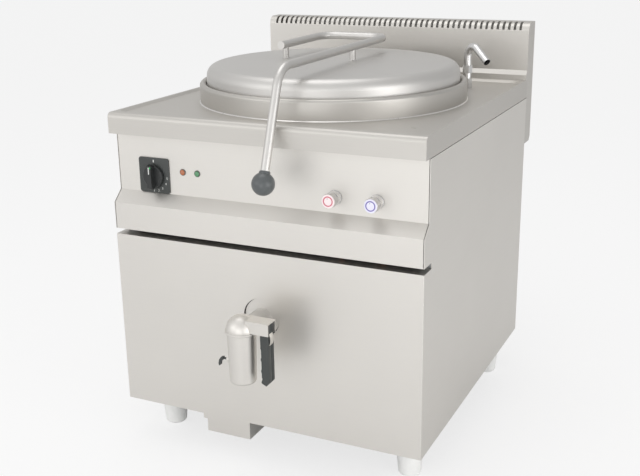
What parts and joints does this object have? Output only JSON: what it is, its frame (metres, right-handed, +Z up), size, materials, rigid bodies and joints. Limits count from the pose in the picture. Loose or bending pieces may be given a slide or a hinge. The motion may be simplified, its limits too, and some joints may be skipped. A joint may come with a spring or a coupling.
{
  "type": "steam jacketed kettle",
  "caption": "Free-standing indirect boiling kettle with a round hinged lid, bent lift lever, filling spout, slanted control panel and front drain valve.",
  "frame": {"origin": "bottom centre of the bounding box, on the floor", "axes": "+Z up, +Y towards the rear, +X towards the user's right when facing the front"},
  "size_m": [0.8, 1.0334, 1.005],
  "materials": {
    "panel_steel": "fine brushed stainless sheet",
    "side_steel": "fine brushed stainless sheet",
    "worktop_steel": "satin pressed stainless sheet",
    "collar_steel": "rolled and polished stainless ring",
    "lid_steel": "satin spun stainless",
    "splash_steel": "fine brushed stainless sheet",
    "tube_steel": "polished stainless tube",
    "pan_steel": "smooth pressed stainless",
    "galvanised": "galvanised sheet",
    "valve_steel": "cast and turned stainless",
    "chrome_plate": "bright chrome plate",
    "copper_pipe": "drawn copper",
    "brass_fitting": "turned brass",
    "element_sheath": "dull heat resisting alloy sheath",
    "insulation_wool": "dark mineral wool",
    "gasket_rubber": "silicone rubber",
    "black_plastic": "moulded satin black plastic",
    "knob_black": "moulded black plastic",
    "ball_plastic": "moulded dark grey plastic",
    "switch_case": "moulded pale plastic",
    "amber_lens": "translucent amber lens",
    "green_lens": "translucent green lens",
    "tap_white": "moulded pale grey plastic",
    "index_red": "moulded red ring",
    "index_blue": "moulded blue ring",
    "foot_white": "moulded white plastic",
    "screw_steel": "zinc plated steel"
  },
  "bodies": {
    "cabinet": {"front_panel": "panel_steel", "control_panel": "panel_steel", "service_box": "panel_steel", "left_side_panel": "side_steel", "right_side_panel": "side_steel", "rear_panel": "side_steel", "worktop": "worktop_steel", "collar_ring": "collar_steel", "splash_box": "splash_steel", "hinge_base": "tube_steel", "hinge_pin": "tube_steel", "inner_pan": "pan_steel", "jacket_shell": "pan_steel", "drain_pipe": "pan_steel", "pipe_disc": "pan_steel", "base_tray": "galvanised", "corner_posts": "galvanised", "top_rails": "galvanised", "foot_sockets": "galvanised", "drain_barrel": "valve_steel", "spout_base": "chrome_plate", "spout_nut": "chrome_plate", "tap_rosettes": "chrome_plate", "hot_inlet_pipe": "copper_pipe", "cold_inlet_pipe": "copper_pipe", "spout_supply_pipe": "copper_pipe", "mixer_pipe": "copper_pipe", "tap_valve_bodies": "brass_fitting", "safety_valve": "brass_fitting", "spout_locknut": "brass_fitting", "heater_flange": "brass_fitting", "heating_elements": "element_sheath", "insulation": "insulation_wool", "lid_gasket": "gasket_rubber", "regulator_bezel": "black_plastic", "regulator_body": "switch_case", "pressure_switch": "switch_case", "contactor": "switch_case", "cable_gland": "switch_case", "amber_lamp": "amber_lens", "green_lamp": "green_lens", "feet": "foot_white", "rear_screws": "screw_steel"},
    "lid": {"lid_shell": "lid_steel", "lid_stiffener": "lid_steel", "lid_handle": "tube_steel", "handle_posts": "tube_steel", "handle_ball": "ball_plastic", "handle_plug": "black_plastic", "hinge_leaf": "tube_steel"},
    "spout": {"spout_tube": "chrome_plate"},
    "regulator": {"regulator_knob": "knob_black"},
    "hot_tap": {"hot_knob": "tap_white", "hot_index": "index_red"},
    "cold_tap": {"cold_knob": "tap_white", "cold_index": "index_blue"},
    "drain_turner": {"drain_cap": "valve_steel", "drain_plug": "valve_steel", "drain_grip": "black_plastic"},
    "lock": {"lock_lever": "black_plastic"}
  },
  "joints": [
    {"name": "lid_hinge", "type": "hinge", "parent": "cabinet", "child": "lid", "pos_m": [0, 0.40675, 0.9], "axis": [-1, 0, 0], "range_deg": [0, 85]},
    {"name": "spout_swivel", "type": "hinge", "parent": "cabinet", "child": "spout", "pos_m": [0.275, 0.29975, 0.9], "axis": [0, 0, 1], "range_deg": [-40, 130]},
    {"name": "regulator_turn", "type": "hinge", "parent": "cabinet", "child": "regulator", "pos_m": [-0.296, -0.36325, 0.6985], "axis": [0, 1, 0], "range_deg": [0, 300]},
    {"name": "hot_tap_turn", "type": "hinge", "parent": "cabinet", "child": "hot_tap", "pos_m": [0.179, -0.38325, 0.693], "axis": [0, -1, 0], "range_deg": [0, 360]},
    {"name": "cold_tap_turn", "type": "hinge", "parent": "cabinet", "child": "cold_tap", "pos_m": [0.279, -0.38325, 0.693], "axis": [0, -1, 0], "range_deg": [0, 360]},
    {"name": "drain_turn", "type": "hinge", "parent": "cabinet", "child": "drain_turner", "pos_m": [0, -0.47825, 0.38], "axis": [0, 0, 1], "range_deg": [-90, 0]},
    {"name": "lock_turn", "type": "hinge", "parent": "cabinet", "child": "lock", "pos_m": [-0.04, -0.47825, 0.317], "axis": [1, 0, 0], "range_deg": [0, 90]}
  ]
}
